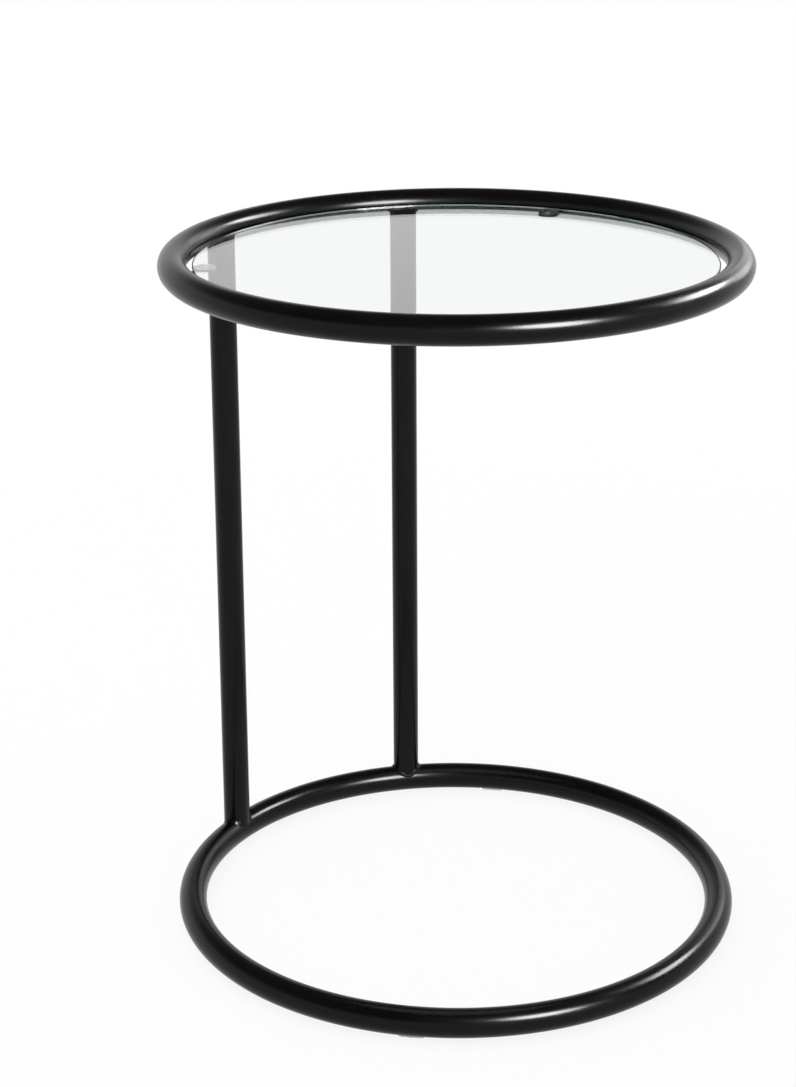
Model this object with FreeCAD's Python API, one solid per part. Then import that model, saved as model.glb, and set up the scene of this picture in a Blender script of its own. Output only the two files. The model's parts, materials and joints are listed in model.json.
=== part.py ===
import FreeCAD, Part
import math
import os

from FreeCAD import Vector

# Side table: two rings of round steel tube, one on the floor and one at the top, held apart by
# two posts that stand together at the back, so that the front is open. A round glass top lies
# inside the upper ring on three clear pads, and lifts straight out. Sizes are in millimetres.
# The origin is on the floor at the centre of the base ring, +Z is up and the posts are at +Y.

# Overall sizes
overall_height = 550.0
outer_diameter = 450.0

# Steel tube of the rings and the posts. The posts stand a little outside the rings' centre line.
tube_diameter = 22.0
tube_wall = 1.5
post_spacing = 178.0
post_outset = 1.2
fit_up_gap = 0.1
vent_hole_diameter = 6.0

# Weld beads between the posts and the rings
weld_height = 1.8
weld_width_along_ring = 2.0
weld_width_across_ring = 0.4

# Glass top
glass_thickness = 5.0
glass_gap = 4.0
glass_edge_round = 1.0

# Clear pads between the brackets and the glass, each with a stem plugged into its bracket
pad_diameter = 15.0
pad_thickness = 1.5
pad_inset = 3.0
pad_edge_round = 0.4
pad_dish_diameter = 9.0
pad_dish_depth = 0.5
pad_tab_width = 5.0
pad_tab_length = 4.0
pad_tab_thickness = 0.8
pad_stem_diameter = 6.0
pad_stem_clearance = 0.05
pad_stem_reach = 0.5
pad_stem_chamfer = 0.3

# Flat steel brackets that carry the pads: their tops lie under the ring's centre line by a share of
# the tube's radius
bracket_drop_share = 0.57
bracket_thickness = 1.5
bracket_margin = 0.5
bracket_weld_radius = 1.5
bracket_weld_inset = 2.0

# Clear glides under the base ring
glide_thickness = 1.2
glide_rim_height = 1.5
glide_width = 6.0
glide_length = 20.0
glide_stem_diameter = 5.0
glide_stem_reach = 3.0
glide_stem_clearance = 0.05
glide_stem_chamfer = 0.6

# Angles in degrees, anticlockwise from +X seen from above
bracket_angles = {"right": 30.0, "left": 150.0, "front": 270.0}
pad_tab_turns = {"right": 294.0, "left": 122.0, "front": 180.0}
glide_angles = {"back_right": 45.0, "back_left": 135.0, "front_left": 225.0, "front_right": 315.0}
post_sides = {"left": -1, "right": 1}
joint_sector = 30.0

# Sizes and heights that follow from the ones above
tube_radius = tube_diameter / 2
bore_radius = tube_radius - tube_wall
ring_radius = outer_diameter / 2 - tube_radius
post_distance = ring_radius + post_outset
base_ring_height = glide_thickness + tube_radius
top_ring_height = overall_height - tube_radius
glass_radius = ring_radius - tube_radius - glass_gap
pad_radius = pad_diameter / 2
pad_circle_radius = glass_radius - pad_inset - pad_radius
bracket_top_height = top_ring_height - bracket_drop_share * tube_radius
bracket_bottom_height = bracket_top_height - bracket_thickness
glass_bottom_height = bracket_top_height + pad_thickness
bracket_half_width = pad_radius + bracket_margin

UP = Vector(0, 0, 1)
DOWN = Vector(0, 0, -1)


def turned(shape, angle):
    """The shape turned about the table's axis, from +X to the given angle."""
    copy = shape.copy()
    copy.rotate(Vector(0, 0, 0), UP, angle)
    return copy


def post_angle(side):
    """Where a post stands round the ring: both are at the back, half the spacing from the middle."""
    half_turn = math.degrees(math.asin(post_spacing / 2 / post_distance))
    return 90 - side * half_turn


def ring_sector(height, radius, sweep=joint_sector):
    """A round bar that follows the ring's centre line, swept to both sides of +X."""
    sector = Part.makeTorus(ring_radius, radius, Vector(0, 0, height), UP, 0, 360, sweep)
    return turned(sector, -sweep / 2)


def wall_hole(height, radius, direction):
    """A drill through one wall of the ring at +X, from the middle of the bore outwards."""
    return Part.makeCylinder(radius, tube_diameter, Vector(ring_radius, 0, height), direction)


def tube_ring(height, holes):
    """A bent tube closed on itself, drawn in four quarter turns, with holes drilled through its wall."""
    quarter = ring_sector(height, tube_radius, 90).cut(ring_sector(height, bore_radius, 90))
    first, *others = [turned(quarter, middle) for middle in (45, 135, 225, 315)]
    return first.fuse(others).cut(holes)


def vent_holes(height, direction):
    """Small holes inside each post's foot or head, which let the sealed tubes breathe in the oven."""
    drill = wall_hole(height, vent_hole_diameter / 2, direction)
    return [turned(drill, post_angle(side)) for side in post_sides.values()]


def glide_holes():
    """Holes under the base ring for the stems of the glides."""
    radius = glide_stem_diameter / 2 + glide_stem_clearance
    drill = wall_hole(base_ring_height, radius, DOWN)
    return [turned(drill, angle) for angle in glide_angles.values()]


def post():
    """An upright tube at +X whose two ends are cut to saddle the rings."""
    length = top_ring_height - base_ring_height
    foot = Vector(post_distance, 0, base_ring_height)
    tube = Part.makeCylinder(tube_radius, length, foot).cut(Part.makeCylinder(bore_radius, length, foot))
    saddle_radius = tube_radius + fit_up_gap
    return tube.cut([ring_sector(base_ring_height, saddle_radius), ring_sector(top_ring_height, saddle_radius)])


def oval_column(half_along, half_across, height, direction):
    """A column round the post at +X with an oval plan, longer along the ring than across it."""
    centre = Vector(post_distance, 0, height)
    oval = Part.Ellipse(centre, half_along, half_across).toShape()
    oval.rotate(centre, UP, 90)
    return Part.Face(Part.Wire([oval])).extrude(direction * tube_diameter)


def post_weld(height, direction):
    """The bead round a post's end, which fills the corner and the gap, and runs under its outer lip."""
    half_along = tube_radius + weld_width_along_ring
    half_across = tube_radius + weld_width_across_ring
    column = oval_column(half_along, half_across, height - post_outset * direction.z, direction)
    bead = column.common(ring_sector(height, tube_radius + weld_height))
    bore = Part.makeCylinder(bore_radius, tube_diameter, Vector(post_distance, 0, height), direction)
    return bead.cut([ring_sector(height, tube_radius), bore, post()])


def bracket():
    """A flat lug at +X with a holed round nose under the pad and its other end cut to fit the ring."""
    nose_centre = Vector(pad_circle_radius, 0, bracket_bottom_height)
    corner = nose_centre - Vector(0, bracket_half_width, 0)
    reach = ring_radius - pad_circle_radius
    strip = Part.makeBox(reach, 2 * bracket_half_width, bracket_thickness, corner)
    nose = Part.makeCylinder(bracket_half_width, bracket_thickness, nose_centre)
    lug = strip.fuse(nose).removeSplitter()
    hole_radius = pad_stem_diameter / 2 + pad_stem_clearance
    hole_start = nose_centre + DOWN * bracket_thickness
    hole = Part.makeCylinder(hole_radius, 3 * bracket_thickness, hole_start)
    return lug.cut([ring_sector(top_ring_height, tube_radius), hole])


def bracket_weld():
    """A short bead at +X in the corner under the bracket, where it meets the upper ring."""
    drop = top_ring_height - bracket_bottom_height
    corner_radius = ring_radius - math.sqrt(tube_radius ** 2 - drop ** 2)
    half_length = bracket_half_width - bracket_weld_inset
    start = Vector(corner_radius, -half_length, bracket_bottom_height)
    rod = Part.makeCylinder(bracket_weld_radius, 2 * half_length, start, Vector(0, 1, 0))
    return rod.cut([ring_sector(top_ring_height, tube_radius), bracket()])


def pad(tab_turn):
    """A soft clear disc at +X with a dished top that grips the glass, a tab to pull it by and a stem."""
    seat = Vector(pad_circle_radius, 0, bracket_top_height)
    disc = Part.makeCylinder(pad_radius, pad_thickness, seat)
    rims = [edge for edge in disc.Edges if edge.Closed and edge.CenterOfMass.z > seat.z]
    disc = disc.makeFillet(pad_edge_round, rims)
    half_tab = pad_tab_width / 2
    tab_end = seat + Vector(pad_radius + pad_tab_length - half_tab, 0, 0)
    strip_length = tab_end.x - seat.x
    strip = Part.makeBox(strip_length, pad_tab_width, pad_tab_thickness, seat - Vector(0, half_tab, 0))
    tab = strip.fuse(Part.makeCylinder(half_tab, pad_tab_thickness, tab_end))
    tab.rotate(seat, UP, tab_turn)
    stem_start = seat + DOWN * (bracket_thickness + pad_stem_reach)
    stem_length = bracket_thickness + pad_stem_reach + pad_tab_thickness
    stem = Part.makeCylinder(pad_stem_diameter / 2, stem_length, stem_start)
    tip = [edge for edge in stem.Edges if edge.Closed and edge.CenterOfMass.z < seat.z]
    stem = stem.makeChamfer(pad_stem_chamfer, tip)
    dish_radius = pad_dish_diameter / 2
    ball_radius = (dish_radius ** 2 + pad_dish_depth ** 2) / (2 * pad_dish_depth)
    ball_centre = seat + UP * (pad_thickness - pad_dish_depth + ball_radius)
    return disc.fuse([tab, stem]).removeSplitter().cut(Part.makeSphere(ball_radius, ball_centre))


def glass_top():
    """The round glass with its edge ground smooth."""
    disc = Part.makeCylinder(glass_radius, glass_thickness, Vector(0, 0, glass_bottom_height))
    rims = [edge for edge in disc.Edges if edge.Closed]
    return disc.makeFillet(glass_edge_round, rims)


def glide():
    """A thin clear shoe at +X that cups the underside of the base ring, with a stem into its wall."""
    centre = Vector(ring_radius, 0, 0)
    half_width = glide_width / 2
    half_straight = glide_length / 2 - half_width
    corner = centre - Vector(half_width, half_straight, 0)
    sole = Part.makeBox(glide_width, 2 * half_straight, glide_rim_height, corner)
    ends = [Part.makeCylinder(half_width, glide_rim_height, centre + Vector(0, end, 0))
            for end in (-half_straight, half_straight)]
    cup = sole.fuse(ends).removeSplitter().cut(ring_sector(base_ring_height, tube_radius))
    stem_length = glide_thickness + tube_wall + glide_stem_reach
    stem = Part.makeCylinder(glide_stem_diameter / 2, stem_length, centre)
    tip = [edge for edge in stem.Edges if edge.Closed and edge.CenterOfMass.z > stem_length / 2]
    stem = stem.makeChamfer(glide_stem_chamfer, tip)
    return cup.fuse(stem).removeSplitter()


def pieces():
    """Every piece of the table under its name."""
    made = {
        "base_ring": tube_ring(base_ring_height, vent_holes(base_ring_height, UP) + glide_holes()),
        "top_ring": tube_ring(top_ring_height, vent_holes(top_ring_height, DOWN)),
        "glass_top": glass_top(),
    }
    for name, side in post_sides.items():
        angle = post_angle(side)
        made[name + "_post"] = turned(post(), angle)
        made[name + "_post_base_weld"] = turned(post_weld(base_ring_height, UP), angle)
        made[name + "_post_top_weld"] = turned(post_weld(top_ring_height, DOWN), angle)
    for name, angle in bracket_angles.items():
        made[name + "_bracket"] = turned(bracket(), angle)
        made[name + "_bracket_weld"] = turned(bracket_weld(), angle)
        made[name + "_pad"] = turned(pad(pad_tab_turns[name]), angle)
    for name, angle in glide_angles.items():
        made[name + "_glide"] = turned(glide(), angle)
    return made


os.makedirs("parts", exist_ok=True)
for name, shape in pieces().items():
    shape.exportStep("parts/" + name + ".step")
    box = shape.BoundBox
    print(name, "solids", len(shape.Solids), "valid", shape.isValid(), "volume", round(shape.Volume, 1),
          "from", round(box.ZMin, 2), "to", round(box.ZMax, 2))
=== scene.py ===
# %% [markdown]
# # A glass-topped side table, dressed and photographed
# The steel tubes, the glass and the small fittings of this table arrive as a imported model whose
# shapes and places are fixed. The lesson gives each of them the surface of the real one, draws the
# glossy, soft and welded pieces again in mesh code, and photographs the table in a white studio.
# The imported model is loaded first, because everything after it is placed by it.

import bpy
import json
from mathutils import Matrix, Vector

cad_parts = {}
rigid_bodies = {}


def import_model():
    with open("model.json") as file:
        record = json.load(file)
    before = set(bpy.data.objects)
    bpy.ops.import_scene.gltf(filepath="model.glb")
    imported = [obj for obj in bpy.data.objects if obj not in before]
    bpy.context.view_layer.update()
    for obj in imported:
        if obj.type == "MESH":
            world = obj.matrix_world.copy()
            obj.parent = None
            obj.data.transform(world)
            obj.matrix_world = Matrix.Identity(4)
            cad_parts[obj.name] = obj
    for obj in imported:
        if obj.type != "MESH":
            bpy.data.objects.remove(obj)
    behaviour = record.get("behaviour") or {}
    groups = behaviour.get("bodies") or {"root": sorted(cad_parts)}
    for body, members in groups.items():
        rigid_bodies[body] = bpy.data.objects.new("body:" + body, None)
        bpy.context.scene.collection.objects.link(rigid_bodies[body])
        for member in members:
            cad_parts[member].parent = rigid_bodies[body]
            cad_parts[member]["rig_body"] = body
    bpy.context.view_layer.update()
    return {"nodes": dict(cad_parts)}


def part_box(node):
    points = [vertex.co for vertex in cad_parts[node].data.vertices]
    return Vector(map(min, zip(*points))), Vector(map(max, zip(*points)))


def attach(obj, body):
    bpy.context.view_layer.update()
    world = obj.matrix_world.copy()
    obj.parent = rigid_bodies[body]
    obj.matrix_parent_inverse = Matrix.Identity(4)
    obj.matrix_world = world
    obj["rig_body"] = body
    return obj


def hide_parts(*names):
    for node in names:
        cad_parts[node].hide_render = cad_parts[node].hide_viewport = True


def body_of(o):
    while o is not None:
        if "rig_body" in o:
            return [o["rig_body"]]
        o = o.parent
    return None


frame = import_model()
print("packed nodes:", len(frame["nodes"]))

# %% [markdown]
# The table is made of one size of round tube, so its radius and the radius of the ring's centre
# line give most of the places that follow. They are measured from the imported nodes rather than
# typed in. Lengths are kept in millimetres, as on a workshop drawing, and turned to Blender's
# metres only when a mesh, a lamp or the camera is made.

# %% Measure the tubes and rings
import json
import math

import bpy
from mathutils import Quaternion, Vector, noise

MM = 0.001
UP = Vector((0, 0, 1))


def box_mm(node):
    """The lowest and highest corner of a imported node, in millimetres."""
    return [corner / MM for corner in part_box(node)]


ring_low, ring_high = box_mm("base_ring")
tube_radius = (ring_high.z - ring_low.z) / 2
ring_radius = ring_high.x - tube_radius
ring_heights = {"base": sum(corner.z for corner in box_mm("base_ring")) / 2,
                "top": sum(corner.z for corner in box_mm("top_ring")) / 2}
print("tube radius", round(tube_radius, 2), "ring radius", round(ring_radius, 2), "heights", ring_heights)

# %% [markdown]
# Colours are written as the hex values that a paint chart or a picture editor shows. Those are
# sRGB values, and Blender's shaders work in linear light, so one function turns them.
# A second small function adds a node to a material, fills its settings by name and links its
# sockets, which keeps each recipe as short as its description.

# %% Turn colours to linear and add nodes
def linear(hex_colour):
    """An sRGB hex colour such as #0c0c0d as the linear red, green, blue and alpha of a shader."""
    shares = [int(hex_colour[place:place + 2], 16) / 255 for place in (1, 3, 5)]
    return [s / 12.92 if s <= 0.04045 else ((s + 0.055) / 1.055) ** 2.4 for s in shares] + [1.0]


def add_node(tree, kind, settings=None, links=None):
    """Adds a node. Settings fill its sockets or its own fields, and links feed its sockets."""
    node = tree.nodes.new(kind)
    for name, value in (settings or {}).items():
        if isinstance(name, int) or name in node.inputs:
            node.inputs[name].default_value = value
        else:
            setattr(node, name, value)
    for name, source in (links or {}).items():
        tree.links.new(source, node.inputs[name])
    return node


def start_finish(name):
    """A new material with an empty node tree, and that tree."""
    finish = bpy.data.materials.new(name)
    finish.use_nodes = True
    finish.node_tree.nodes.clear()
    return finish, finish.node_tree


# %% [markdown]
# The tubes are mild steel in a black polyester powder coat, sprayed dry and melted in an oven.
# The powder flows into a smooth glossy skin with a faint orange peel, a waviness about two
# millimetres from crest to crest. A polyester coat is no metal to the eye: its reflections are
# weak face on and grow towards the edges of the tube, so the tubes read as deep black with pale
# rims, and a lamp draws one crisp streak along them. The usual index is about 1.5. A lower one is
# set here, because this studio is white all round, and the full one would turn the deep black of
# the sides that face the camera to grey. The peel is a bump from fine noise. Slower noise varies
# the gloss and the black a little, as the thickness of the coat does.

# %% Black polyester powder coat
coat_ior = 1.24
coat_blacks = ("#040405", "#080809")
coat_roughness = (0.2, 0.26)
peel_spacing = 1.9
peel_depth = 0.002
peel_detail = 1.5
patch_spacing = 45.0
patch_detail = 3.0
patch_band = (0.3, 0.7)


def powder_coat():
    """Glossy black powder coat with a faint orange peel."""
    finish, tree = start_finish("black_polyester_powder_coat")
    place = {"Vector": add_node(tree, "ShaderNodeTexCoord").outputs["Object"]}
    peel = add_node(tree, "ShaderNodeTexNoise",
                    {"Scale": 1 / (peel_spacing * MM), "Detail": peel_detail}, place)
    patch = add_node(tree, "ShaderNodeTexNoise",
                     {"Scale": 1 / (patch_spacing * MM), "Detail": patch_detail}, place)
    thickness = patch.outputs["Fac"]
    thin, thick = [linear(black) for black in coat_blacks]
    black = add_node(tree, "ShaderNodeMix", {"data_type": "RGBA", 6: thin, 7: thick}, {0: thickness})
    gloss = add_node(tree, "ShaderNodeMapRange",
                     {"From Min": patch_band[0], "From Max": patch_band[1],
                      "To Min": coat_roughness[0], "To Max": coat_roughness[1]}, {"Value": thickness})
    bump = add_node(tree, "ShaderNodeBump", {"Distance": peel_depth * MM}, {"Height": peel.outputs["Fac"]})
    shader = add_node(tree, "ShaderNodeBsdfPrincipled", {"IOR": coat_ior},
                      {"Base Color": black.outputs[2], "Roughness": gloss.outputs[0],
                       "Normal": bump.outputs[0]})
    add_node(tree, "ShaderNodeOutputMaterial", links={"Surface": shader.outputs[0]})
    return finish


coat = powder_coat()
print("finish:", coat.name)

# %% [markdown]
# The top is toughened float glass with a ground and polished edge. Float glass is clear through
# its face and green along its length, because the iron in it takes away red light: a thin sheet
# shows it only at the rim, where light has crossed the whole disc. That is a volume absorption, so
# the tint deepens by itself where the path is long. The rim is ground, so it is a little rougher
# than the faces. A mask made from the surface's own normal tells the rim from the faces.

# %% Toughened float glass
glass_ior = 1.52
glass_faces = "#f4f6f5"
glass_rim = "#eef4f1"
rim_band = (0.99, 0.9)
rim_roughness = 0.03
glass_tint = "#8fd6b4"
tint_density = 3.0


def float_glass():
    """Clear glass, faintly green in depth, with a ground rim."""
    finish, tree = start_finish("toughened_float_glass")
    normal = add_node(tree, "ShaderNodeNewGeometry").outputs["Normal"]
    upright = add_node(tree, "ShaderNodeSeparateXYZ", links={0: normal}).outputs["Z"]
    facing = add_node(tree, "ShaderNodeMath", {"operation": "ABSOLUTE"}, {0: upright}).outputs[0]
    rim = add_node(tree, "ShaderNodeMapRange", {"From Min": rim_band[0], "From Max": rim_band[1]},
                   {"Value": facing}).outputs[0]
    face_colour, rim_colour = linear(glass_faces), linear(glass_rim)
    colour = add_node(tree, "ShaderNodeMix", {"data_type": "RGBA", 6: face_colour, 7: rim_colour},
                      {0: rim}).outputs[2]
    rough = add_node(tree, "ShaderNodeMapRange", {"To Max": rim_roughness}, {"Value": rim}).outputs[0]
    shader = add_node(tree, "ShaderNodeBsdfPrincipled", {"IOR": glass_ior, "Transmission Weight": 1.0},
                      {"Base Color": colour, "Roughness": rough})
    depth = add_node(tree, "ShaderNodeVolumeAbsorption",
                     {"Color": linear(glass_tint), "Density": tint_density})
    add_node(tree, "ShaderNodeOutputMaterial",
             links={"Surface": shader.outputs[0], "Volume": depth.outputs[0]})
    return finish


glass = float_glass()
print("finish:", glass.name)

# %% [markdown]
# The pads under the glass are clear silicone rubber, cast in a polished mould. Rubber is never as
# crisp as glass: it scatters a little light inside, and its skin is faintly matt and dimpled, so
# it looks milky where it is thick. The glides under the base are clear polycarbonate, injection
# moulded, which is harder and glossier and bends light more.

# %% Clear silicone rubber and clear polycarbonate
dimple_strength = 0.5


def clear_moulding(name, body_colour, dimple_spacing, dimple_depth, ior, roughness, clearness):
    """A clear moulded material with a fine dimpled skin."""
    finish, tree = start_finish(name)
    place = add_node(tree, "ShaderNodeTexCoord").outputs["Object"]
    dimples = add_node(tree, "ShaderNodeTexNoise", {"Scale": 1 / (dimple_spacing * MM)}, {"Vector": place})
    haze = add_node(tree, "ShaderNodeMapRange", {"To Min": roughness / 2, "To Max": roughness * 3 / 2},
                    {"Value": dimples.outputs["Fac"]})
    bump = add_node(tree, "ShaderNodeBump",
                    {"Strength": dimple_strength, "Distance": dimple_depth * MM},
                    {"Height": dimples.outputs["Fac"]})
    shader = add_node(tree, "ShaderNodeBsdfPrincipled",
                      {"Base Color": linear(body_colour), "IOR": ior, "Transmission Weight": clearness},
                      {"Roughness": haze.outputs[0], "Normal": bump.outputs[0]})
    add_node(tree, "ShaderNodeOutputMaterial", links={"Surface": shader.outputs[0]})
    return finish


rubber = clear_moulding("clear_silicone_rubber", body_colour="#f4f6f5", dimple_spacing=0.8,
                        dimple_depth=0.01, ior=1.41, roughness=0.08, clearness=0.95)
plastic = clear_moulding("clear_polycarbonate", body_colour="#f2f4f3", dimple_spacing=1.5,
                         dimple_depth=0.01, ior=1.58, roughness=0.06, clearness=0.95)
print("finishes:", rubber.name, plastic.name)

# %% [markdown]
# The posts and the glides already have their true shapes, so those nodes stay as they came and only
# their material slots change. The record names the finish of every node, and each name leads to one
# of the materials above.

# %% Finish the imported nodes
finishes = {"black_powder_coat": coat, "clear_glass": glass,
            "clear_soft_pad": rubber, "clear_plastic_glide": plastic}
for node in frame["nodes"].values():
    for holder in node.material_slots:
        holder.material = finishes[holder.material.name.split(".")[0]]
print("nodes finished:", len(frame["nodes"]))

# %% [markdown]
# The hand-made pieces are all skins over a row of sections: a bead is a section carried along a
# joint, and a plate or a pad is an outline carried upwards. One function joins each section to the
# next with four-sided faces, and closes the ends or joins the last section to the first. Another
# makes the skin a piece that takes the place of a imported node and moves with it. A third gives the
# heights and insets of the outlines up a rounded edge, which the glass, the brackets and the pads
# all have.

# %% Skin a row of sections into a piece
edge_steps = 4


def skin(sections, closed=False):
    """The points and faces of a surface over sections that all have the same number of points."""
    count = len(sections[0])
    points = [point for section in sections for point in section]
    pairs = [(row, row + 1) for row in range(len(sections) - 1)]
    if closed:
        pairs.append((len(sections) - 1, 0))
    faces = []
    for a, b in pairs:
        for side in range(count):
            ahead = (side + 1) % count
            faces.append((a * count + side, a * count + ahead, b * count + ahead, b * count + side))
    if not closed:
        faces.append(tuple(reversed(range(count))))
        faces.append(tuple(range(len(points) - count, len(points))))
    return points, faces


def add_piece(node, sections, finish, closed=False):
    """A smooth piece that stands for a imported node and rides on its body."""
    points, faces = skin(sections, closed)
    mesh = bpy.data.meshes.new("shaped_" + node)
    mesh.from_pydata([point * MM for point in points], [], faces)
    mesh.polygons.foreach_set("use_smooth", [len(face) == 4 for face in faces])
    mesh.materials.append(finish)
    piece = bpy.data.objects.new("shaped_" + node, mesh)
    bpy.context.scene.collection.objects.link(piece)
    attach(piece, body_of(frame["nodes"][node])[0])
    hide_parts(node)
    return piece


def rounded_levels(low, high, edge, steps=edge_steps):
    """Heights and insets of the outlines up a plate whose two edges are rounded."""
    turns = [math.pi / 2 * step / steps for step in range(steps + 1)]
    rise = [(low + edge * (1 - math.cos(turn)), edge * (1 - math.sin(turn))) for turn in turns]
    return rise + [(low + high - height, inset) for height, inset in reversed(rise)]


# %% [markdown]
# The two rings are drawn again as evenly spaced round sections. A packed surface is cut into long
# thin triangles, which is exact enough for a drawing, but a glossy black tube mirrors lamps along
# its whole length and every uneven triangle would ripple the streak. The drilled holes are left out
# here, because the posts and the glides cover them. Each section lies between two others, so the
# skin is closed on itself.

# %% Bend the rings
ring_sections = 480
tube_sides = 72


def bent_ring(node):
    """The sections of a tube bent to a full circle, between the top and bottom of its node."""
    low, high = box_mm(node)
    height, radius = (low.z + high.z) / 2, (high.z - low.z) / 2
    sections = []
    for station in range(ring_sections):
        turn = 2 * math.pi * station / ring_sections
        out = Vector((math.cos(turn), math.sin(turn), 0))
        centre = out * ring_radius + UP * height
        around = [2 * math.pi * side / tube_sides for side in range(tube_sides)]
        sections.append([centre + (out * math.cos(a) + UP * math.sin(a)) * radius for a in around])
    return sections


for ring in ("base_ring", "top_ring"):
    add_piece(ring, bent_ring(ring), coat, closed=True)
print("rings bent: 2, sections each:", ring_sections)

# %% [markdown]
# The glass is drawn again for the same reason. Its rim is where glass shows most, because every bit
# of it bends light another way, and a coarse rim breaks the thin bright line along the back of the
# top into dashes. The disc is skinned from circles, up its ground and rounded edge from the lower
# face to the upper one, and the two faces close it.

# %% Grind the edge of the glass
glass_edge = 1.0
glass_edge_steps = 12
glass_sides = 720


def glass_sections():
    """The circles of the glass, from the rim of its lower face to the rim of its upper one."""
    low, high = box_mm("glass_top")
    around = [2 * math.pi * side / glass_sides for side in range(glass_sides)]
    sections = []
    for height, inset in rounded_levels(low.z, high.z, glass_edge, glass_edge_steps):
        radius = high.x - inset
        sections.append([Vector((radius * math.cos(a), radius * math.sin(a), height)) for a in around])
    return sections


add_piece("glass_top", glass_sections(), glass)
print("glass ground, sides:", glass_sides)

# %% [markdown]
# Each post is cut to saddle the ring and welded all round. It stands a little outside the ring's
# centre line, so the joint is high on the inner side, where the ring's flank runs on unbroken in
# front of the foot, and on the outer side the post overhangs the ring by a small lip. The joint was
# dressed with a file before it was coated: what is left is a small smooth fillet, in which the
# welder's overlapping drops show only as faint ripples about two millimetres apart. The bead is
# drawn as its real section, from one toe on the post to the other on the ring, carried along the
# joint, full in the corners, nearly flush on the flanks and swelling under the lip.

# %% Weld the posts to the rings
bead_stations = 264
face_points = 7
ripple_spacing = 2.1
ripple_height = 0.05
ripple_lean = 1.6
ripple_waver = 0.5
toe_sink = 0.14
root_depth = 0.7
bead_legs = (1.0, 2.3)
bead_swells = (0.12, 0.06)
lip_cover = 0.8


def bead_section(spots, normals, toes, leg, swell, travelled):
    """One section of a bead: across its rippled face from toe to toe, then the root under it."""
    first, second = [spot + toe * leg - normal * toe_sink
                     for spot, toe, normal in zip(spots, toes, normals)]
    outward = (normals[0] + normals[1]).normalized()
    middle = (spots[0] + spots[1]) / 2
    section = []
    for step in range(face_points):
        across = step / (face_points - 1)
        crown = 1 - (2 * across - 1) ** 2
        phase = 2 * math.pi * travelled / ripple_spacing - ripple_lean * crown
        ripple = ripple_height * math.cos(phase) * (1 + ripple_waver * noise.noise(middle / ripple_spacing))
        section.append(first.lerp(second, across) + outward * crown * (swell + ripple))
    section.append(middle - outward * root_depth)
    return section


def saddle_bead(angle, distance, height, side):
    """The sections of the bead round one end of a post. Side is 1 on top of a ring, -1 under it."""
    out = Vector((math.cos(angle), math.sin(angle), 0))
    along = UP.cross(out)
    stations = []
    for station in range(bead_stations):
        turn = 2 * math.pi * station / bead_stations
        from_post = out * math.cos(turn) + along * math.sin(turn)
        plan = out * distance + from_post * tube_radius
        reach = plan.length - ring_radius
        rise = math.sqrt(max(tube_radius ** 2 - reach ** 2, 0))
        from_ring = (plan.normalized() * reach + UP * side * rise).normalized()
        on_post = plan + UP * (height + side * rise)
        on_ring = plan.normalized() * ring_radius + from_ring * tube_radius + UP * height
        stations.append(((on_post, on_ring), (from_post, from_ring), max(reach - tube_radius, 0)))
    sections, travelled = [], 0
    for station, (spots, pair, overhang) in enumerate(stations):
        before, after = stations[station - 1][0][0], stations[(station + 1) % bead_stations][0][0]
        ahead = after - before
        travelled += (spots[0] - before).length
        toes = [pair[0].cross(ahead).normalized() * side, ahead.cross(pair[1]).normalized() * side]
        corner = 1 - pair[0].dot(pair[1]) ** 2
        leg, swell = [low + (high - low) * corner for low, high in (bead_legs, bead_swells)]
        leg, swell = leg + overhang, swell + lip_cover * overhang
        sections.append(bead_section(spots, pair, toes, leg, swell, travelled))
    return sections


for post in ("left", "right"):
    low, high = box_mm(post + "_post")
    middle = (low + high) / 2
    post_angle, post_distance = math.atan2(middle.y, middle.x), math.hypot(middle.x, middle.y)
    for end, side in (("base", 1), ("top", -1)):
        bead = saddle_bead(post_angle, post_distance, ring_heights[end], side)
        add_piece(post + "_post_" + end + "_weld", bead, coat, closed=True)
print("saddle beads: 4, stations each:", bead_stations, "posts at", round(post_distance, 2))

# %% [markdown]
# Three lugs carry the glass. Each is punched from flat steel bar, with a round nose under its pad and
# a hole in the nose for the pad's stem, and its other end is welded to the inside of the upper ring.
# Punching and the powder coat leave the edges slightly round, which is what catches the light on the
# real one. The skin runs round the plate as round a ring: from the hole along the underside, up the
# rounded edge, back over the top and down the hole. The end that meets the ring runs into its wall.

# %% Shape the brackets
bracket_angles = {"right": 30.0, "left": 150.0, "front": 270.0}
bracket_edge = 0.35
bracket_hole_radius = 3.05
hole_edge = 0.2
nose_steps = 48
end_steps = 10
wall_bite = 0.7

pad_low, pad_high = box_mm("front_pad")
bracket_low, bracket_high = box_mm("front_bracket")
bracket_half_width = (bracket_high.x - bracket_low.x) / 2
nose_distance = -bracket_high.y + bracket_half_width


def turned(points, angle):
    """Points turned about the table's axis, from +X to an angle in degrees."""
    turn = Quaternion(UP, math.radians(angle))
    return [turn @ point for point in points]


def ring_face(height):
    """How far the upper ring's inner side is from the table's axis at a height."""
    return ring_radius - math.sqrt(tube_radius ** 2 - (ring_heights["top"] - height) ** 2)


def bracket_outline(height, inset):
    """The outline of a bracket at +X, round its nose and across the end that meets the ring."""
    half_width = bracket_half_width - inset
    end = ring_face(height) + wall_bite
    turns = [math.pi / 2 + math.pi * step / nose_steps for step in range(nose_steps + 1)]
    nose = [Vector((nose_distance + half_width * math.cos(a), half_width * math.sin(a), height))
            for a in turns]
    across = [Vector((end, half_width * (2 * step / end_steps - 1), height))
              for step in range(end_steps + 1)]
    return nose + across


def hole_outline(height, radius):
    """The edge of the hole in a bracket at +X, with a point towards each point of its outline."""
    centre = Vector((nose_distance, 0, height))
    return [centre + (point - centre).normalized() * radius for point in bracket_outline(height, 0)]


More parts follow.
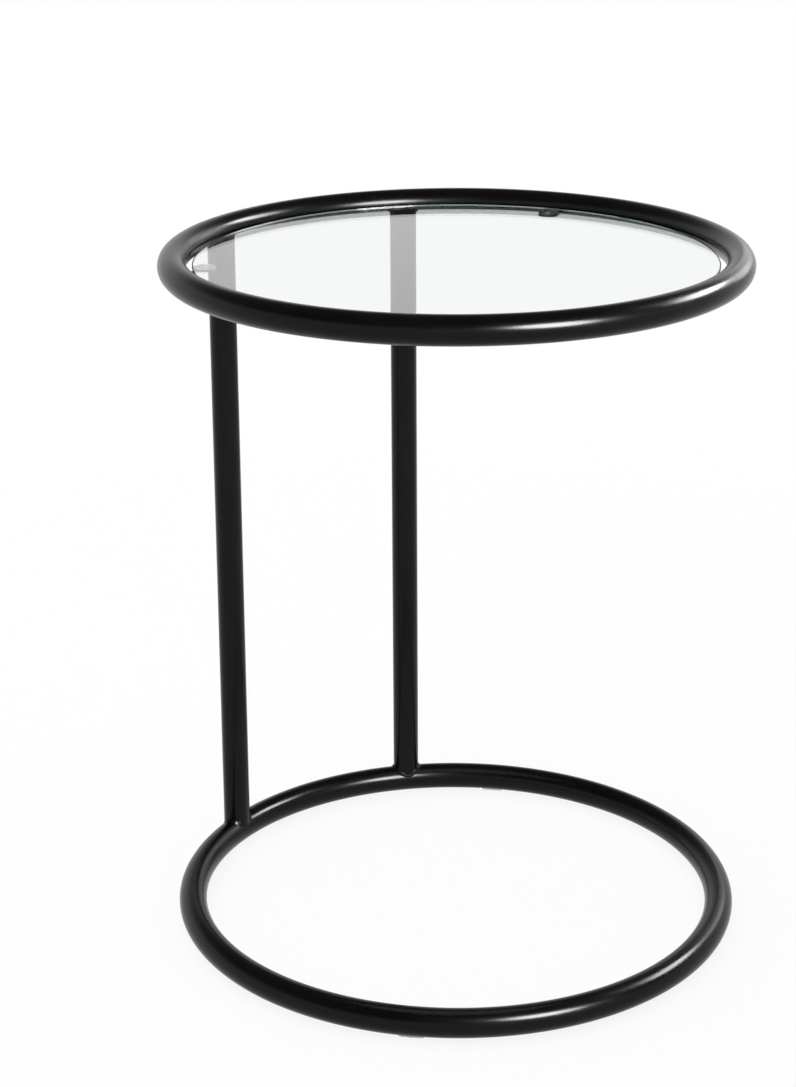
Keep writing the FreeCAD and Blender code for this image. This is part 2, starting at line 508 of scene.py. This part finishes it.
def bracket_sections():
    """The outlines of a bracket from its underside over its edge and down its hole."""
    levels = rounded_levels(bracket_low.z, bracket_high.z, bracket_edge)
    outer = [bracket_outline(height, inset) for height, inset in levels]
    flat_rims = [bracket_outline(height, 2 * bracket_edge) for height in (bracket_low.z, bracket_high.z)]
    hole_levels = rounded_levels(bracket_low.z, bracket_high.z, hole_edge)
    hole = [hole_outline(height, bracket_hole_radius + inset) for height, inset in reversed(hole_levels)]
    return [flat_rims[0], *outer, flat_rims[1], *hole]


for name, angle in bracket_angles.items():
    plate = [turned(section, angle) for section in bracket_sections()]
    add_piece(name + "_bracket", plate, coat, closed=True)
print("bracket width", round(2 * bracket_half_width, 2), "nose centre", round(nose_distance, 2))

# %% [markdown]
# A short bead in the corner under each bracket holds it to the ring. It is the same rippled
# section, with one toe on the underside of the plate and the other on the tube, and it tapers at
# both ends where the welder starts and stops.

# %% Weld the brackets
bracket_bead_stations = 60
bracket_bead_leg = 1.6
bracket_bead_swell = 0.3
bracket_bead_length = 12.0
taper_power = 4
bead_tail = 0.02


def bracket_bead():
    """The sections of the bead under a bracket at +X."""
    height = bracket_low.z
    drop = ring_heights["top"] - height
    corner = ring_face(height)
    tube_normal = Vector((corner - ring_radius, 0, -drop)).normalized()
    plate_toe = Vector((-1, 0, 0))
    tube_toe = Vector((0, 1, 0)).cross(tube_normal)
    sections = []
    for station in range(bracket_bead_stations + 1):
        share = 2 * station / bracket_bead_stations - 1
        taper = math.sqrt(max(1 - share ** taper_power, bead_tail))
        spot = Vector((corner, share * bracket_bead_length / 2, height))
        travelled = share * bracket_bead_length / 2
        sections.append(bead_section((spot, spot), (-UP, tube_normal), (plate_toe, tube_toe),
                                     bracket_bead_leg * taper, bracket_bead_swell * taper, travelled))
    return sections


for name, angle in bracket_angles.items():
    sections = [turned(section, angle) for section in bracket_bead()]
    add_piece(name + "_bracket_weld", sections, coat)
print("bracket beads: 3, length", bracket_bead_length)

# %% [markdown]
# Each pad is a little disc of silicone with a dished top that grips the glass by suction, a thin
# soft lip round the dish, a tab at one side to peel it off by, and a stem under it that plugs into
# the bracket. The steel shows black through the disc, and the stem shows the white floor, so that a
# pad looks like a dark ring round a bright middle. It is a soft moulding with no sharp edge anywhere,
# skinned from round outlines: up the stem, out under the disc, up its wall, over the lip and down
# into the dish. The lower outlines of the disc reach out to the tab. Every corner of the profile is
# turned in several steps, as a quarter circle.

# %% Mould the pads
pad_radius = 7.5
pad_tab_turns = {"right": 294.0, "left": 122.0, "front": 180.0}
pad_tab_width = 5.0
pad_tab_length = 4.0
pad_tab_thickness = 0.8
pad_edge = 0.35
pad_lip = 1.5
lip_steps = 10
pad_dish_depth = 0.55
dish_steps = 8
pad_stem_radius = 3.0
stem_tip_round = 0.4
stem_root_round = 0.25
pad_clearance = 0.03
pad_steps = 144
pad_seat = bracket_high.z + pad_clearance
pad_thickness = pad_high.z - pad_clearance - pad_seat
pad_stem_length = pad_seat - pad_low.z


def tab_reach(direction, inset):
    """How far the outline of the tab is from the pad's middle, in a direction from the tab's line."""
    half = pad_tab_width / 2 - inset
    end = pad_radius + pad_tab_length - pad_tab_width / 2
    sine, cosine = abs(math.sin(direction)), math.cos(direction)
    if cosine <= 0 or sine * end > half * cosine:
        return half / sine if cosine > 0 and sine > 0 else 0
    return end * cosine + math.sqrt(half ** 2 - (end * sine) ** 2)


def pad_outline(height, radius, tab_inset=None):
    """A round outline of a pad, with the tab where an inset for it is given."""
    outline = []
    for step in range(pad_steps):
        direction = 2 * math.pi * step / pad_steps - math.pi
        reach = radius if tab_inset is None else max(radius, tab_reach(direction, tab_inset))
        outline.append(Vector((reach * math.cos(direction), reach * math.sin(direction), height)))
    return outline


def stem_sections():
    """The outlines of a pad's stem, from its rounded tip to the fillet under the disc."""
    sections = []
    for step in range(edge_steps + 1):
        turn = math.pi / 2 * step / edge_steps
        sections.append(pad_outline(stem_tip_round * (1 - math.cos(turn)) - pad_stem_length,
                                    pad_stem_radius - stem_tip_round * (1 - math.sin(turn))))
    for step in range(edge_steps + 1):
        turn = math.pi / 2 * step / edge_steps
        sections.append(pad_outline(stem_root_round * (math.sin(turn) - 1),
                                    pad_stem_radius + stem_root_round * (1 - math.cos(turn))))
    return sections


def pad_sections():
    """The outlines of a pad from its stem over its lip into the dish."""
    sections = stem_sections()
    for height, inset in rounded_levels(0, pad_tab_thickness, pad_edge):
        radius = pad_radius - inset if height < pad_tab_thickness / 2 else pad_radius
        sections.append(pad_outline(height, radius, inset))
    for step in range(lip_steps + 1):
        turn = math.pi * step / lip_steps
        radius = pad_radius - pad_lip * (1 - math.cos(turn)) / 2
        sections.append(pad_outline(pad_thickness - pad_edge * (1 - math.sin(turn)), radius))
    dish_radius = pad_radius - pad_lip
    for step in range(1, dish_steps):
        share = 1 - step / dish_steps
        dip = pad_edge + (pad_dish_depth - pad_edge) * (1 - share ** 2)
        sections.append(pad_outline(pad_thickness - dip, dish_radius * share))
    return sections


for name, angle in bracket_angles.items():
    seat = Vector((nose_distance, 0, pad_seat))
    spin = Quaternion(UP, math.radians(pad_tab_turns[name]))
    moulded = [turned([seat + spin @ point for point in section], angle) for section in pad_sections()]
    add_piece(name + "_pad", moulded, rubber)
print("pad thickness", round(pad_thickness, 2), "stem", round(pad_stem_length, 2), "pads: 3")

# %% [markdown]
# The studio is a white floor that runs out of sight. A white floor lit by lamps is only as white as
# its light, so most of its white is plain emission, which only the camera, reflections and
# refractions see. The rest is white paint that takes the lamps, and keeps the soft shadow of the
# table. Away from the table, where nothing casts a shadow, the glow takes over altogether.

# %% Lay the floor
floor_size = 60.0
floor_drop = 0.0003
shadow_reach = (0.45, 1.5)
glow_near_table = 0.88
paint_white = "#f6f6f6"
glow_white = "#ffffff"


def seen_rays(tree):
    """1 for the rays that show the background: from the camera, in reflections and through glass."""
    path = add_node(tree, "ShaderNodeLightPath").outputs
    seen = path["Is Camera Ray"]
    for kind in ("Is Glossy Ray", "Is Transmission Ray"):
        either = add_node(tree, "ShaderNodeMath", {"operation": "MAXIMUM"}, {0: seen, 1: path[kind]})
        seen = either.outputs[0]
    return seen


def floor_paint():
    """White paint with a glow that only seen rays pick up."""
    finish, tree = start_finish("white_floor_paint")
    place = add_node(tree, "ShaderNodeTexCoord").outputs["Object"]
    away = add_node(tree, "ShaderNodeVectorMath", {"operation": "LENGTH"}, {0: place}).outputs["Value"]
    share = add_node(tree, "ShaderNodeMapRange",
                     {"interpolation_type": "SMOOTHSTEP", "To Min": glow_near_table,
                      "From Min": shadow_reach[0], "From Max": shadow_reach[1]}, {"Value": away}).outputs[0]
    seen = seen_rays(tree)
    glow = add_node(tree, "ShaderNodeMath", {"operation": "MULTIPLY"}, {0: share, 1: seen}).outputs[0]
    paint = add_node(tree, "ShaderNodeBsdfDiffuse", {"Color": linear(paint_white)})
    white = add_node(tree, "ShaderNodeEmission", {"Color": linear(glow_white), "Strength": 1.0})
    mixed = add_node(tree, "ShaderNodeMixShader", links={0: glow, 1: paint.outputs[0], 2: white.outputs[0]})
    add_node(tree, "ShaderNodeOutputMaterial", links={"Surface": mixed.outputs[0]})
    return finish


half_floor = floor_size / 2
floor_mesh = bpy.data.meshes.new("floor")
floor_mesh.from_pydata([(x * half_floor, y * half_floor, -floor_drop)
                        for x, y in ((-1, -1), (1, -1), (1, 1), (-1, 1))], [], [(0, 1, 2, 3)])
floor_mesh.materials.append(floor_paint())
floor = bpy.data.objects.new("floor", floor_mesh)
bpy.context.scene.collection.objects.link(floor)
print("floor", floor_size, "m across")

# %% [markdown]
# Round the floor stands a white wall, and over it hangs a dim ceiling. The wall is what the glass
# mirrors at this low angle, and what pales the rims of the tubes. The dim ceiling leaves the upper
# sides of the tubes black, so that the streaks of the lamps stand out. Both are one sky whose
# brightness depends on the height above the horizon alone, so every view has the same studio.

# %% Paint the sky
wall_strength = 1.0
wall_top = 0.3
ceiling_strength = 0.16
ceiling_start = 0.55

sky = bpy.data.worlds.new("white_wall_dim_ceiling")
sky.use_nodes = True
sky.node_tree.nodes.clear()
look = add_node(sky.node_tree, "ShaderNodeTexCoord").outputs["Generated"]
height = add_node(sky.node_tree, "ShaderNodeSeparateXYZ", links={0: look}).outputs["Z"]
strength = add_node(sky.node_tree, "ShaderNodeMapRange",
                    {"interpolation_type": "SMOOTHSTEP", "From Min": wall_top, "From Max": ceiling_start,
                     "To Min": wall_strength, "To Max": ceiling_strength}, {"Value": height})
sky_light = add_node(sky.node_tree, "ShaderNodeBackground", {"Color": linear(glow_white)},
                     {"Strength": strength.outputs[0]})
add_node(sky.node_tree, "ShaderNodeOutputWorld", links={"Surface": sky_light.outputs[0]})
bpy.context.scene.world = sky
print("wall", wall_strength, "ceiling", ceiling_strength)

# %% [markdown]
# Two kinds of lamp light the table, as a photographer of glossy things sets them up. A wide fill
# overhead lights matt surfaces to a plain level, at which colours come out as they are written, and
# gives the soft shadow. The softboxes are there for the gloss alone: a round black tube shows
# only what it mirrors, and they draw the bright tapered streaks on it. One stands in front and to
# the right of the camera, a little above the glass, and one is higher up on the right. Two wide dim
# panels behind the second one let its streak fade out slowly round the right end of each ring. Each
# lamp is given by its place in millimetres and by its brightness, where 1 is the white of the wall,
# and it is turned to face the table. Its power follows from its brightness and its area.

# %% Hang the lamps
aim = Vector((0, 0, 300))
fill_lamps = {
    "overhead_fill": {"place": (-300, 300, 2600), "size": (6000, 6000), "brightness": 1.3},
}
gloss_lamps = {
    "front_softbox": {"place": (-30, -1430, 1060), "size": (760, 620), "brightness": 90.0},
    "side_softbox": {"place": (1610, -340, 1450), "size": (1050, 480), "brightness": 49.0},
    "side_panel": {"place": (1950, 400, 1000), "size": (800, 600), "brightness": 2.6},
    "back_right_panel": {"place": (1920, 720, 1060), "size": (1380, 850), "brightness": 1.3},
}


def hang_lamp(name, place, size, brightness):
    """An oval lamp that faces the table and stays out of the picture itself."""
    lamp = bpy.data.lights.new(name, "AREA")
    lamp.shape = "ELLIPSE"
    lamp.size, lamp.size_y = [side * MM for side in size]
    area = math.pi / 4 * lamp.size * lamp.size_y
    lamp.energy = brightness * math.pi * area
    holder = bpy.data.objects.new(name, lamp)
    holder.location = Vector(place) * MM
    holder.rotation_mode = "QUATERNION"
    holder.rotation_quaternion = (Vector(place) - aim).to_track_quat("Z", "Y")
    holder.visible_camera = False
    bpy.context.scene.collection.objects.link(holder)
    return holder


for name, lamp in fill_lamps.items():
    hang_lamp(name, **lamp).visible_glossy = False
for name, lamp in gloss_lamps.items():
    hang_lamp(name, **lamp).visible_diffuse = False
print("lamps:", len(fill_lamps) + len(gloss_lamps))

# %% [markdown]
# The camera stands where the photographer stood: in front of the table and to its left, a little
# above the glass, looking slightly down. Its place, heading, tilt and roll come from fitting the
# outlines of both rings and both posts to the photograph. The small vertical shift keeps the posts
# nearly parallel in the picture, as a view camera does.

# %% Set the camera
camera_place = Vector((-1074.0, -1460.0, 957.9))
camera_heading = 55.07
camera_tilt = -17.32
camera_roll = -0.36
camera_lens = 81.26
camera_shift_y = -0.092

eye = bpy.data.cameras.new("camera")
eye.lens = camera_lens
eye.shift_y = camera_shift_y
camera = bpy.data.objects.new("camera", eye)
heading, tilt = math.radians(camera_heading), math.radians(camera_tilt)
forward = Vector((math.cos(heading) * math.cos(tilt), math.sin(heading) * math.cos(tilt), math.sin(tilt)))
camera.location = camera_place * MM
camera.rotation_mode = "QUATERNION"
camera.rotation_quaternion = forward.to_track_quat("-Z", "Y") @ Quaternion(UP, math.radians(camera_roll))
bpy.context.scene.collection.objects.link(camera)
bpy.context.scene.camera = camera
bpy.context.scene.view_settings.view_transform = "Standard"
print("camera at", tuple(round(place, 3) for place in camera.location))
